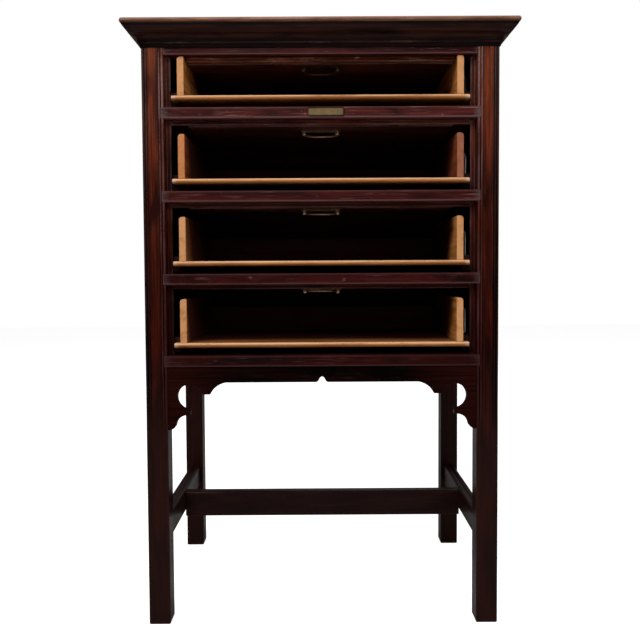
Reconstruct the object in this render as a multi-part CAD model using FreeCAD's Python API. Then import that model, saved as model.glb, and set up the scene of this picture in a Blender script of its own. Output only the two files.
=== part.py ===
import FreeCAD, Part
import os
from math import cos, pi, sin, sqrt

# Sheet-music cabinet on an open stand: four compartments, each with a sliding tray and a flap that
# swings up under the compartment's ceiling. Millimetres, +Z up, front towards -Y. The origin is on
# the floor, at the middle of the whole cabinet's footprint.

# Small turned brass is drawn with this many flats
turned_sides = 8

# Two heights closer than this count as the same when edges are picked
level_tolerance = 0.002

# Carcase
carcase_width = 560.0
carcase_depth = 374.0
leg_height = 416.5  # floor to the underside of the bottom rail
post_size = 34.0
post_arris = 1.2
foot_chamfer = 1.5
overrun = 2.0  # how far a cutting tool runs past what it cuts

# Openings, the first being the top one
lower_openings = 3
opening_height = 112.8
top_opening_height = 81.6

# Rails between the front posts
rail_height = 17.5
rail_depth = 24.0
rail_proud = 1.0
rail_arris = 1.6
rail_lap = 4.4
lap_depth = 6.0
frieze_height = 10.5
frieze_recess = 1.5
board_thickness = 7.0  # dust boards, bottom board and inner top

# Scratch beads on the front posts
bead_width = 4.4
beads_per_edge = 2
bead_stop_height = 300.0
bead_runout = 45.0

# Side frames, side panels and back
side_rail_thickness = 17.0
side_top_rail_drop = 32.0
side_bottom_rail_height = 50.0
panel_thickness = 8.0
panel_tongue = 6.0
back_thickness = 6.0
back_inset = 2.0

# Top board and the cove moulding under it
top_overhang = 27.0
top_thickness = 8.0
top_nosing = 3.4
moulding_height = 30.5
moulding_reach = 24.5
moulding_fillet = 5.0
moulding_bead = 3.2
moulding_bead_reach = 4.0
moulding_foot_reach = 1.4
moulding_lip = 0.8
hollow_sag_share = 0.33  # how far the hollow bows, over half its chord
round_sag_share = 0.09

# Strips that line each opening
strip_setback = 18.0
strip_depth = 6.0
strip_width = 8.0
strip_drop = 7.0

# Trays
tray_setback = 5.0
tray_depth = 250.0
tray_lift = 12.0  # rail top to tray underside
tray_floor_thickness = 8.0
tray_nosing = 3.4
tongue_gap = 3.0  # tongue end to lining strip
tongue_length = 9.5
tray_side_thickness = 10.5
tray_side_arris = 5.0
tray_side_setback = 1.5
tray_side_drop = 22.5  # opening top to the top of a lower tray's side
top_tray_side_drop = 1.0
tray_back_thickness = 9.0
tray_back_share = 0.64  # tray back height over tray side height

# Runners
runner_gap = 2.0
runner_wall = 8.0
runner_start = 26.0
slide_clearance = 0.2
tongue_end_clearance = 1.0
stop_clearance = 0.4

# Flaps and their hinges
flap_drop = 7.8  # opening top to the flap's outer face
flap_thickness = 12.0
flap_side_gap = 2.5
flap_floor_gap = 2.0
flap_arris = 1.0
hinge_offset = 3.0  # hinge axis to the outside of each leaf
hinge_face_offset = 2.7  # hinge axis to the flap's outer face
hinge_leaf_thickness = 1.2
hinge_leaf_rise = 10.0  # fixed leaf above the rail's underside
hinge_length = 38.0
hinge_spacing_share = 0.68  # distance between a flap's hinges over the flap's width
knuckle_radius = 2.6
knuckle_gap = 0.3
knuckle_share = 0.42  # middle knuckle over the hinge length
pin_radius = 1.2
pin_clearance = 0.15
leaf_knuckle_gap = 0.7

# Flap handles
handle_pitch = 55.0
handle_drop = 29.0
handle_margin = 20.0  # handle's lowest point to the flap's lower edge
top_handle_margin = 8.0  # on the short top flap
handle_standoff = 5.4
handle_bar_radius = 2.0
handle_bend = 11.0
plate_length = 66.0
plate_width = 11.0
plate_thickness = 1.2
handle_bend_steps = 4
knob_radius = 3.6
knob_neck_radius = 2.3
knob_base_radius = 4.2
knob_base_height = 1.2
knob_end_radius = 1.8

# Metal strip that stands on each right-hand runner
stay_depth = 90.0
stay_width = 9.0
stay_thickness = 1.8
stay_height = 42.0
stay_foot = 8.0
stay_inset = 13.0  # runner's inner face to the strip

# Apron with pierced corner brackets
apron_thickness = 12.0
apron_setback = 2.0
apron_drop = 25.4
notch_half_width = 9.5
notch_rise = 9.0
notch_bow = 1.1  # how far each half of the notch's ogee bows
bracket_reach = 92.4
bracket_drop = 75.8
# Bracket outline: reach from the leg over bracket_reach, drop below the apron edge over bracket_drop
bracket_shoulder_share = (0.792, 0.137)
bracket_heel_share = (0.741, 0.251)
bracket_eye_share = (0.406, 0.302)
bracket_eye_radius_share = 0.2056
bracket_cusp_share = 0.678
bracket_belly_share = (0.232, 0.775)
bracket_toe_share = (0.148, 0.937)
bracket_scallop_share = (0.085, 0.975)

# Stretchers
stretcher_bottom = 128.0
stretcher_height = 39.0
stretcher_thickness = 20.0
stretcher_inset = 6.0
stretcher_reed = 3.0
cross_bottom = 117.0
cross_height = 45.0
cross_thickness = 20.0
cross_arris = 4.0
tenon_length = 9.0
tenon_share = 0.4  # tenon over the rail's thickness and height

# Blank plate on the first divider rail
plaque_width = 56.0
plaque_height = 13.0
plaque_thickness = 1.0
plaque_offset = 8.0
plaque_corner = 1.5

# Places worked out from the sizes above
half_width = carcase_width / 2
post_inner = half_width - post_size
y_front = (top_overhang - carcase_depth) / 2
y_back = y_front + carcase_depth
panel_inner = half_width - side_rail_thickness
back_face = y_back - back_inset - back_thickness
opening_heights = [top_opening_height] + [opening_height] * lower_openings
carcase_top = leg_height + frieze_height + sum(opening_heights) + rail_height * len(opening_heights)
post_top = carcase_top + moulding_height
bead_depth = bead_width / 2

strip_inner = post_inner - strip_width
tongue_half = strip_inner - tongue_gap
tray_side_outer = tongue_half - tongue_length
tray_side_inner = tray_side_outer - tray_side_thickness
tray_front = y_front + tray_setback
tray_back = tray_front + tray_depth
tray_floor_top_rise = tray_lift + tray_floor_thickness

flap_half = tray_side_inner - flap_side_gap
hinge_y = y_front + rail_depth + hinge_offset
flap_front = hinge_y + hinge_offset
runner_inner = tray_side_outer + runner_gap


def solid_box(x0, x1, y0, y1, z0, z1):
    return Part.makeBox(x1 - x0, y1 - y0, z1 - z0, FreeCAD.Vector(x0, y0, z0))


def mirrored(shape):
    return shape.mirror(FreeCAD.Vector(0, 0, 0), FreeCAD.Vector(1, 0, 0))


def prism(points, along):
    wire = Part.makePolygon(points + points[:1])
    return Part.Face(wire).extrude(along)


def arc(start, middle, end):
    return Part.Arc(start, middle, end).toShape()


def line(start, end):
    return Part.makeLine(start, end)


def ring(centre, radius, across, up):
    # Closed polygon of the turned section about a centre, in the plane of two unit vectors
    corners = []
    for number in range(turned_sides):
        angle = 2 * pi * (number + 1 / 2) / turned_sides
        corners.append(centre + across * (radius * cos(angle)) + up * (radius * sin(angle)))
    return Part.makePolygon(corners + corners[:1])


def save(shape, node):
    shape.exportStep(os.path.join("parts", node + ".step"))


def save_group(shapes, node):
    save(Part.makeCompound(shapes), node)


def opening_tops():
    tops = []
    level = carcase_top - frieze_height
    for height in opening_heights:
        tops.append(level)
        level = level - height - rail_height
    return tops


def opening_bottoms():
    return [top - height for top, height in zip(opening_tops(), opening_heights)]


def rail_bottoms():
    # Undersides of the three divider rails and the bottom rail
    return [bottom - rail_height for bottom in opening_bottoms()]


def edges_where(shape, test):
    return [edge for edge in shape.Edges if test(edge)]


def is_level(edge, height):
    box = edge.BoundBox
    return abs(box.ZMin - height) < level_tolerance and abs(box.ZMax - height) < level_tolerance


def is_upright(edge, least):
    return edge.BoundBox.ZLength > least


def is_front_edge(edge, least, limit):
    # Runs along X for more than the least length and lies wholly in front of the limit
    return edge.BoundBox.XLength > least and edge.BoundBox.YMax < limit


def post_envelope(x_side, y_side):
    x0 = post_inner if x_side > 0 else -half_width
    y0 = y_front if y_side < 0 else y_back - post_size
    return solid_box(x0, x0 + post_size, y0, y0 + post_size, 0, post_top)


def all_post_envelopes():
    return [post_envelope(x, y) for x in (-1, 1) for y in (-1, 1)]


def bead_cutter(edge_x, inward):
    # What a scratch stock takes off the front face: a strip less its beads, shallower at the stop
    strip_width_cut = bead_width * beads_per_edge
    x0 = min(edge_x, edge_x + inward * strip_width_cut)
    x1 = x0 + strip_width_cut
    top = post_top + overrun
    cutter = solid_box(x0, x1, y_front - overrun, y_front + bead_depth, bead_stop_height, top)
    for number in range(beads_per_edge):
        bead_x = x0 + bead_width * (number + 1 / 2)
        centre = FreeCAD.Vector(bead_x, y_front + bead_depth, bead_stop_height)
        cutter = cutter.cut(Part.makeCylinder(bead_depth, top - bead_stop_height, centre))
    slope = [
        FreeCAD.Vector(x0, y_front - overrun, bead_stop_height),
        FreeCAD.Vector(x0, y_front, bead_stop_height),
        FreeCAD.Vector(x0, y_front + bead_depth, bead_stop_height + bead_runout),
        FreeCAD.Vector(x0, y_front + bead_depth, top),
        FreeCAD.Vector(x0, y_front - overrun, top),
    ]
    return cutter.common(prism(slope, FreeCAD.Vector(strip_width_cut, 0, 0)))


def rail_lap_cutters():
    cutters = []
    lap_x = post_inner + rail_lap
    lap_y = y_front + lap_depth
    for bottom in rail_bottoms():
        cutters.append(solid_box(post_inner, lap_x, y_front, lap_y, bottom, bottom + rail_height))
    return cutters


def side_panel_box():
    return solid_box(
        panel_inner, panel_inner + panel_thickness,
        y_front + post_size - panel_tongue, y_back - post_size + panel_tongue,
        leg_height + side_bottom_rail_height - panel_tongue,
        carcase_top - side_top_rail_drop + panel_tongue)


def back_panel():
    half = post_inner + panel_tongue
    return solid_box(-half, half, back_face, back_face + back_thickness, leg_height, post_top)


def stretcher_tenon(y_from, y_to):
    # Tenon of a side stretcher on the right, let into a leg
    inset = stretcher_thickness * (1 - tenon_share) / 2
    x0 = post_inner + stretcher_inset + inset
    z_inset = stretcher_height * (1 - tenon_share) / 2
    return solid_box(
        x0, x0 + stretcher_thickness * tenon_share, y_from, y_to,
        stretcher_bottom + z_inset, stretcher_bottom + stretcher_height - z_inset)


def right_post(y_side):
    post = post_envelope(1, y_side)
    uprights = edges_where(post, lambda edge: is_upright(edge, post_size))
    post = post.makeChamfer(post_arris, uprights)
    feet = edges_where(post, lambda edge: is_level(edge, 0))
    post = post.makeChamfer(foot_chamfer, feet)
    cutters = [side_panel_box(), back_panel()]
    if y_side < 0:
        cutters.append(bead_cutter(half_width, -1))
        cutters.append(bead_cutter(post_inner, 1))
        cutters.extend(rail_lap_cutters())
        leg_back = y_front + post_size
        cutters.append(stretcher_tenon(leg_back - tenon_length, leg_back))
    else:
        leg_front = y_back - post_size
        cutters.append(stretcher_tenon(leg_front, leg_front + tenon_length))
    for cutter in cutters:
        post = post.cut(cutter)
    return post


def build_posts():
    for y_side, place in ((-1, "front"), (1, "rear")):
        post = right_post(y_side)
        save(post, place + "_post_right")
        save(mirrored(post), place + "_post_left")


def moulded_rail(bottom):
    # Rail with rounded front arrises whose ends lap over the posts' inner beads
    half = post_inner + rail_lap
    front = y_front - rail_proud
    rail = solid_box(-half, half, front, y_front + rail_depth, bottom, bottom + rail_height)
    fronts = edges_where(rail, lambda edge: is_front_edge(edge, half, y_front))
    rail = rail.makeFillet(rail_arris, fronts)
    for x0 in (post_inner, -half - overrun):
        shoulder = solid_box(
            x0, x0 + rail_lap + overrun, y_front + lap_depth, y_front + rail_depth + overrun,
            bottom - overrun, bottom + rail_height + overrun)
        rail = rail.cut(shoulder)
    return rail


def build_rails():
    bottoms = rail_bottoms()
    for number, bottom in enumerate(bottoms[:lower_openings], start=1):
        save(moulded_rail(bottom), "divider_rail_%d" % number)
    save(moulded_rail(bottoms[lower_openings]), "bottom_rail")
    frieze_front = y_front + frieze_recess
    frieze = solid_box(
        -post_inner, post_inner, frieze_front, y_front + rail_depth,
        carcase_top - frieze_height, post_top)
    save(frieze, "frieze_rail")


def horizontal_board(rail_underside):
    top = rail_underside + rail_height
    board = solid_box(
        -panel_inner, panel_inner, y_front + rail_depth, back_face,
        top - board_thickness, top)
    for post in all_post_envelopes():
        board = board.cut(post)
    return board


def build_boards():
    bottoms = rail_bottoms()
    for number, bottom in enumerate(bottoms[:lower_openings], start=1):
        save(horizontal_board(bottom), "dust_board_%d" % number)
    save(horizontal_board(bottoms[lower_openings]), "bottom_board")
    save(horizontal_board(carcase_top - frieze_height), "inner_top_board")


def build_sides():
    panel = side_panel_box()
    save(panel, "side_panel_right")
    save(mirrored(panel), "side_panel_left")
    rails = []
    for z0, z1 in (
            (leg_height, leg_height + side_bottom_rail_height),
            (carcase_top - side_top_rail_drop, post_top)):
        rail = solid_box(panel_inner, half_width, y_front + post_size, y_back - post_size, z0, z1)
        rail = rail.cut(panel)
        rails.append(rail)
        rails.append(mirrored(rail))
    save_group(rails, "side_rails")
    save(back_panel(), "back_panel")


def moulding_face(x0, reach_direction, z0):
    # Fillet, bead, hollow and round of the cove moulding, in a plane of constant Y
    def at(reach, rise):
        return FreeCAD.Vector(x0 + reach_direction * reach, 0, z0 + rise)

    bead_mid = moulding_fillet + moulding_bead / 2
    hollow_start = moulding_fillet + moulding_bead
    round_end = moulding_height - moulding_lip
    bead_root = moulding_bead_reach - moulding_bead / 2
    mid_reach = (moulding_bead_reach + moulding_reach) / 2
    mid_rise = (hollow_start + round_end) / 2
    quarter_reach = (mid_reach - moulding_bead_reach) / 2
    quarter_rise = (mid_rise - hollow_start) / 2
    half_chord = sqrt(quarter_reach ** 2 + quarter_rise ** 2)
    hollow_sag = half_chord * hollow_sag_share
    round_sag = half_chord * round_sag_share
    lower_mid = at(
        moulding_bead_reach + quarter_reach - hollow_sag, hollow_start + quarter_rise + hollow_sag)
    upper_mid = at(mid_reach + quarter_reach + round_sag, mid_rise + quarter_rise - round_sag)
    edges = [
        line(at(0, 0), at(moulding_foot_reach, 0)),
        line(at(moulding_foot_reach, 0), at(moulding_foot_reach, moulding_fillet)),
        line(at(moulding_foot_reach, moulding_fillet), at(bead_root, moulding_fillet)),
        arc(at(bead_root, moulding_fillet), at(moulding_bead_reach, bead_mid), at(bead_root, hollow_start)),
        line(at(bead_root, hollow_start), at(moulding_bead_reach, hollow_start)),
        arc(at(moulding_bead_reach, hollow_start), lower_mid, at(mid_reach, mid_rise)),
        arc(at(mid_reach, mid_rise), upper_mid, at(moulding_reach, round_end)),
        line(at(moulding_reach, round_end), at(moulding_reach, moulding_height)),
        line(at(moulding_reach, moulding_height), at(0, moulding_height)),
        line(at(0, moulding_height), at(0, 0)),
    ]
    return Part.Face(Part.Wire(edges))


def build_cornice():
    reach = moulding_reach + overrun
    # Right-hand length, run along Y and cut to its mitre
    bar = moulding_face(half_width, 1, carcase_top)
    bar.translate(FreeCAD.Vector(0, y_front - reach, 0))
    bar = bar.extrude(FreeCAD.Vector(0, carcase_depth + reach, 0))
    mitre = prism([
        FreeCAD.Vector(half_width, y_front, carcase_top),
        FreeCAD.Vector(half_width + reach, y_front - reach, carcase_top),
        FreeCAD.Vector(half_width + reach, y_back, carcase_top),
        FreeCAD.Vector(half_width, y_back, carcase_top),
    ], FreeCAD.Vector(0, 0, moulding_height))
    side = bar.common(mitre)
    save(side, "cornice_right")
    save(mirrored(side), "cornice_left")
    # Front length, the same profile turned a quarter turn about the front corner
    front = moulding_face(half_width, 1, carcase_top)
    corner = FreeCAD.Vector(half_width, 0, carcase_top)
    front.rotate(corner, FreeCAD.Vector(0, 0, 1), -90)
    front.translate(FreeCAD.Vector(reach, y_front, 0))
    front = front.extrude(FreeCAD.Vector(-carcase_width - 2 * reach, 0, 0))
    mitre = prism([
        FreeCAD.Vector(-half_width, y_front, carcase_top),
        FreeCAD.Vector(half_width, y_front, carcase_top),
        FreeCAD.Vector(half_width + reach, y_front - reach, carcase_top),
        FreeCAD.Vector(-half_width - reach, y_front - reach, carcase_top),
    ], FreeCAD.Vector(0, 0, moulding_height))
    save(front.common(mitre), "cornice_front")
    half = half_width + top_overhang
    board = solid_box(-half, half, y_front - top_overhang, y_back, post_top, post_top + top_thickness)

    def is_nosed(edge):
        # Every level edge but the two at the back
        return edge.BoundBox.ZLength < top_nosing and edge.BoundBox.YMin < y_back - top_nosing

    save(board.makeFillet(top_nosing, edges_where(board, is_nosed)), "top_board")


def build_strips():
    strips = []
    y0 = y_front + strip_setback
    y1 = y0 + strip_depth
    for number, (top, bottom) in enumerate(zip(opening_tops(), opening_bottoms())):
        # The top tray's sides reach the rail, so its top strip stops between them
        half = flap_half if number == 0 else strip_inner
        strips.append(solid_box(-half, half, y0, y1, top - strip_drop, top))
        upright = solid_box(strip_inner, post_inner, y0, y1, bottom, top)
        strips.append(upright)
        strips.append(mirrored(upright))
    save_group(strips, "opening_strips")


def right_runner(opening_bottom):
    # Bar with a stopped groove for the tray's tongue
    floor_bottom = opening_bottom + tray_lift
    floor_top = floor_bottom + tray_floor_thickness
    runner = solid_box(
        runner_inner, panel_inner, y_front + runner_start, back_face,
        floor_bottom - runner_wall, floor_top + runner_wall)
    groove = solid_box(
        runner_inner - overrun, tongue_half + tongue_end_clearance,
        y_front, tray_back + stop_clearance,
        floor_bottom - slide_clearance, floor_top + slide_clearance)
    runner = runner.cut(groove)
    for post in all_post_envelopes():
        runner = runner.cut(post)
    return runner


def right_stay(opening_bottom):
    # Springy metal strip with a foot, standing on the runner beside the tray
    z0 = opening_bottom + tray_floor_top_rise + runner_wall
    x0 = runner_inner + stay_inset
    foot_x = x0 - stay_foot
    y0 = y_front + stay_depth
    outline = [
        FreeCAD.Vector(foot_x, y0, z0),
        FreeCAD.Vector(x0 + stay_thickness, y0, z0),
        FreeCAD.Vector(x0 + stay_thickness, y0, z0 + stay_height),
        FreeCAD.Vector(x0, y0, z0 + stay_height),
        FreeCAD.Vector(x0, y0, z0 + stay_thickness),
        FreeCAD.Vector(foot_x, y0, z0 + stay_thickness),
    ]
    return prism(outline, FreeCAD.Vector(0, stay_width, 0))


def build_runners():
    runners = [right_runner(bottom) for bottom in opening_bottoms()]
    save_group(runners, "tray_runners_right")
    save_group([mirrored(runner) for runner in runners], "tray_runners_left")
    save_group([right_stay(bottom) for bottom in opening_bottoms()], "stay_strips")


def tray_side_height(number):
    drop = top_tray_side_drop if number == 0 else tray_side_drop
    return opening_heights[number] - tray_floor_top_rise - drop


def right_tray_side(floor_top, height):
    y0 = tray_front + tray_side_setback
    top = floor_top + height
    side = solid_box(tray_side_inner, tray_side_outer, y0, tray_back, floor_top, top)
    outer_top = edges_where(
        side, lambda edge: is_level(edge, top) and edge.BoundBox.XMin > tray_side_outer - tray_side_arris
        and edge.BoundBox.YLength > tray_side_thickness)
    return side.makeFillet(tray_side_arris, outer_top)


def tray_floor(floor_bottom):
    floor_top = floor_bottom + tray_floor_thickness
    floor = solid_box(-tongue_half, tongue_half, tray_front, tray_back, floor_bottom, floor_top)
    limit = tray_front + tray_nosing
    nosing = edges_where(floor, lambda edge: is_front_edge(edge, tongue_half, limit))
    return floor.makeFillet(tray_nosing, nosing)


def build_trays():
    for number, bottom in enumerate(opening_bottoms()):
        name = "tray_%d_" % (number + 1)
        floor_bottom = bottom + tray_lift
        floor_top = floor_bottom + tray_floor_thickness
        height = tray_side_height(number)
        side = right_tray_side(floor_top, height)
        save(tray_floor(floor_bottom), name + "floor")
        save(side, name + "side_right")
        save(mirrored(side), name + "side_left")
        back_top = floor_top + height * tray_back_share
        back = solid_box(
            -tray_side_inner, tray_side_inner, tray_back - tray_back_thickness, tray_back,
            floor_top, back_top)
        save(back, name + "back")


def hinge_axis_z(opening_top):
    return opening_top - flap_drop + hinge_face_offset


def flap_length(number):
    closed_top_drop = flap_drop - hinge_face_offset + hinge_offset
    return opening_heights[number] - tray_floor_top_rise - closed_top_drop - flap_floor_gap


def flap_board(number, opening_top):
    z0 = opening_top - flap_drop
    y1 = flap_front + flap_length(number)
    board = solid_box(-flap_half, flap_half, flap_front, y1, z0, z0 + flap_thickness)
    outer = edges_where(board, lambda edge: is_level(edge, z0) and edge.BoundBox.YMin > y1 - flap_arris)
    return board.makeFillet(flap_arris, outer)


def hinge_places():
    offset = flap_half * hinge_spacing_share
    return [-offset, offset]


def knuckle_spans(x_centre):
    # Outer left, middle and outer right knuckles along the pin
    middle = hinge_length * knuckle_share / 2
    outer = hinge_length / 2
    return (
        (x_centre - outer, x_centre - middle),
        (x_centre - middle + knuckle_gap, x_centre + middle - knuckle_gap),
        (x_centre + middle, x_centre + outer))


def along_pin(radius, span, axis_z):
    start = FreeCAD.Vector(span[0], hinge_y, axis_z)
    section = Part.Face(ring(start, radius, FreeCAD.Vector(0, 1, 0), FreeCAD.Vector(0, 0, 1)))
    return section.extrude(FreeCAD.Vector(span[1] - span[0], 0, 0))


def hinge_leaf(spans, plate_span, y_outside, y_inside, axis_z, plate_top):
    # Plate tangent to the knuckles, with a strap down to each knuckle of its own
    y0 = min(y_outside, y_inside)
    y1 = max(y_outside, y_inside)
    plate_bottom = axis_z + knuckle_radius + leaf_knuckle_gap
    leaf = solid_box(plate_span[0], plate_span[1], y0, y1, plate_bottom, plate_top)
    for span in spans:
        strap = solid_box(span[0], span[1], y0, y1, axis_z, plate_bottom)
        reach = solid_box(
            span[0], span[1], min(y_outside, hinge_y), max(y_outside, hinge_y),
            axis_z, axis_z + hinge_leaf_thickness)
        knuckle = along_pin(knuckle_radius, span, axis_z)
        leaf = leaf.fuse([strap, reach, knuckle])
    return leaf


def fixed_leaf(x_centre, opening_top):
    left, middle, right = knuckle_spans(x_centre)
    axis_z = hinge_axis_z(opening_top)
    outside = y_front + rail_depth
    leaf = hinge_leaf(
        (left, right), (left[0], right[1]), outside, outside + hinge_leaf_thickness,
        axis_z, opening_top + hinge_leaf_rise)
    # The pin is driven tight into the two outer knuckles
    pin = along_pin(pin_radius, (left[0], right[1]), axis_z)
    return leaf.fuse(pin).removeSplitter()


def flap_leaf(x_centre, opening_top):
    left, middle, right = knuckle_spans(x_centre)
    axis_z = hinge_axis_z(opening_top)
    plate_top = opening_top - flap_drop + flap_thickness
    leaf = hinge_leaf(
        (middle,), (left[0], right[1]), flap_front, flap_front - hinge_leaf_thickness,
        axis_z, plate_top)
    return leaf.cut(along_pin(pin_radius + pin_clearance, middle, axis_z)).removeSplitter()


def handle_bar(knob_y, bar_z):
    # Bar bent square with easy corners, from one knob to the other, lofted through rings
    half = handle_pitch / 2
    far_y = knob_y + handle_drop
    upright = FreeCAD.Vector(0, 0, 1)
    across = FreeCAD.Vector(1, 0, 0)
    rings = [ring(FreeCAD.Vector(-half, knob_y, bar_z), handle_bar_radius, across, upright)]
    for side in (-1, 1):
        centre = FreeCAD.Vector(side * (half - handle_bend), far_y - handle_bend, bar_z)
        for step in range(handle_bend_steps + 1):
            turn = step / handle_bend_steps * pi / 2
            angle = pi - turn if side < 0 else pi / 2 - turn
            outward = FreeCAD.Vector(cos(angle), sin(angle), 0)
            rings.append(ring(centre + outward * handle_bend, handle_bar_radius, outward * -1, upright))
    rings.append(ring(FreeCAD.Vector(half, knob_y, bar_z), handle_bar_radius, across * -1, upright))
    return Part.makeLoft(rings, True, True)


def knob(x, knob_y, face_z):
    # Turned post below the plate: base, neck and a bead that the bar grows out of
    across = FreeCAD.Vector(1, 0, 0)
    back = FreeCAD.Vector(0, 1, 0)
    bead = handle_standoff - plate_thickness
    profile = (
        (knob_base_radius, 0),
        (knob_neck_radius, knob_base_height),
        (knob_radius, bead),
        (knob_end_radius, bead + knob_radius))
    rings = []
    for radius, depth in profile:
        centre = FreeCAD.Vector(x, knob_y, face_z - plate_thickness - depth)
        rings.append(ring(centre, radius, across, back))
    return Part.makeLoft(rings, True, True)


def handle_plate(knob_y, face_z):
    half = plate_length / 2
    round_radius = plate_width / 2
    flat = half - round_radius
    z = face_z - plate_thickness

    def at(x, y):
        return FreeCAD.Vector(x, knob_y + y, z)

    outline = Part.Wire([
        line(at(-flat, -round_radius), at(flat, -round_radius)),
        arc(at(flat, -round_radius), at(half, 0), at(flat, round_radius)),
        line(at(flat, round_radius), at(-flat, round_radius)),
        arc(at(-flat, round_radius), at(-half, 0), at(-flat, -round_radius)),
    ])
    return Part.Face(outline).extrude(FreeCAD.Vector(0, 0, plate_thickness))


def build_flaps():
    fixed = []
    for number, top in enumerate(opening_tops()):
        name = "flap_%d_" % (number + 1)
        save(flap_board(number, top), name + "board")
        leaves = []
        for x_centre in hinge_places():
            leaves.append(flap_leaf(x_centre, top))
            fixed.append(fixed_leaf(x_centre, top))
        save_group(leaves, name + "hinge_leaves")
        face_z = top - flap_drop
        margin = top_handle_margin if number == 0 else handle_margin
        knob_y = flap_front + flap_length(number) - margin - handle_drop
        loop = handle_bar(knob_y, face_z - handle_standoff)
        for x in (-handle_pitch / 2, handle_pitch / 2):
            loop = loop.fuse(knob(x, knob_y, face_z))
        save_group([handle_plate(knob_y, face_z), loop], name + "handle")
    save_group(fixed, "hinge_fixed_leaves")


def bracket_point(share):
    return (-post_inner + share[0] * bracket_reach, leg_height - apron_drop - share[1] * bracket_drop)


def build_apron():
    # Outline of the left half, from the notch to the leg, then mirrored
    y0 = y_front + apron_setback

    def at(place):
        return FreeCAD.Vector(place[0], y0, place[1])

    edge_z = leg_height - apron_drop
    eye_x, eye_z = bracket_point(bracket_eye_share)
    eye_radius = bracket_eye_radius_share * bracket_reach
    shoulder = bracket_point(bracket_shoulder_share)
    heel = bracket_point(bracket_heel_share)
    eye_start = (eye_x + sqrt(eye_radius ** 2 - (heel[1] - eye_z) ** 2), heel[1])
    eye_far = (eye_x - eye_radius * sqrt(2) / 2, eye_z + eye_radius * sqrt(2) / 2)
    eye_end = (eye_x, eye_z - eye_radius)
    cusp = (eye_x, edge_z - bracket_cusp_share * bracket_drop)
    belly = bracket_point(bracket_belly_share)
    toe = bracket_point(bracket_toe_share)
    scallop = bracket_point(bracket_scallop_share)
    foot = (-post_inner, edge_z - bracket_drop)
    shoulder_start = (-post_inner + bracket_reach, edge_z)
    notch_foot = (-notch_half_width, edge_z)
    notch_turn = (-notch_half_width / 2, edge_z + notch_rise / 2)
    notch_tip = (0, edge_z + notch_rise)
    low_bow = ((notch_foot[0] + notch_turn[0]) / 2, (notch_foot[1] + notch_turn[1]) / 2 - notch_bow)
    high_bow = ((notch_turn[0] + notch_tip[0]) / 2, (notch_turn[1] + notch_tip[1]) / 2 + notch_bow)
    edges = [
        line(at((0, leg_height)), at(notch_tip)),
        arc(at(notch_tip), at(high_bow), at(notch_turn)),
        arc(at(notch_turn), at(low_bow), at(notch_foot)),
        line(at(notch_foot), at(shoulder_start)),
        arc(at(shoulder_start), at(shoulder), at(heel)),
        line(at(heel), at(eye_start)),
        arc(at(eye_start), at(eye_far), at(eye_end)),
        line(at(eye_end), at(cusp)),
        arc(at(cusp), at(belly), at(toe)),
        arc(at(toe), at(scallop), at(foot)),
        line(at(foot), at((-post_inner, leg_height))),
        line(at((-post_inner, leg_height)), at((0, leg_height))),
    ]
    half = Part.Face(Part.Wire(edges)).extrude(FreeCAD.Vector(0, apron_thickness, 0))
    save(half.fuse(mirrored(half)).removeSplitter(), "front_apron")


def right_side_stretcher():
    # Reeded top: two rounds side by side along the length
    x0 = post_inner + stretcher_inset
    x1 = x0 + stretcher_thickness
    y0 = y_front + post_size
    y1 = y_back - post_size
    top = stretcher_bottom + stretcher_height
    middle = (x0 + x1) / 2
    reed_z = top - stretcher_reed

    def at(x, z):
        return FreeCAD.Vector(x, y0, z)

    face = Part.Face(Part.Wire([
        line(at(x0, stretcher_bottom), at(x1, stretcher_bottom)),
        line(at(x1, stretcher_bottom), at(x1, reed_z)),
        arc(at(x1, reed_z), at((x1 + middle) / 2, top), at(middle, reed_z)),
        arc(at(middle, reed_z), at((x0 + middle) / 2, top), at(x0, reed_z)),
        line(at(x0, reed_z), at(x0, stretcher_bottom)),
    ]))
    bar = face.extrude(FreeCAD.Vector(0, y1 - y0, 0))
    bar = bar.fuse([stretcher_tenon(y0 - tenon_length, y0), stretcher_tenon(y1, y1 + tenon_length)])
    return bar.removeSplitter().cut(cross_tenon())


def cross_tenon():
    mid_y = (y_front + y_back) / 2
    x0 = post_inner + stretcher_inset
    half_y = cross_thickness * tenon_share / 2
    mid_z = (stretcher_bottom + cross_bottom + cross_height) / 2
    half_z = (cross_bottom + cross_height - stretcher_bottom) * tenon_share / 2
    return solid_box(x0, x0 + tenon_length, mid_y - half_y, mid_y + half_y, mid_z - half_z, mid_z + half_z)


def build_stretchers():
    side = right_side_stretcher()
    save(side, "side_stretcher_right")
    save(mirrored(side), "side_stretcher_left")
    half = post_inner + stretcher_inset
    mid_y = (y_front + y_back) / 2
    top = cross_bottom + cross_height
    cross = solid_box(
        -half, half, mid_y - cross_thickness / 2, mid_y + cross_thickness / 2, cross_bottom, top)
    tops = edges_where(cross, lambda edge: is_level(edge, top) and edge.BoundBox.XLength > half)
    cross = cross.makeFillet(cross_arris, tops)
    tenon = cross_tenon()
    save(cross.fuse([tenon, mirrored(tenon)]).removeSplitter(), "cross_stretcher")


def build_plaque():
    top = opening_bottoms()[0]
    face = y_front - rail_proud
    x0 = plaque_offset - plaque_width / 2
    z1 = top - rail_arris
    plaque = solid_box(x0, x0 + plaque_width, face - plaque_thickness, face, z1 - plaque_height, z1)
    corners = edges_where(plaque, lambda edge: edge.BoundBox.YLength > plaque_thickness / 2)
    save(plaque.makeFillet(plaque_corner, corners), "maker_plate")


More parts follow.
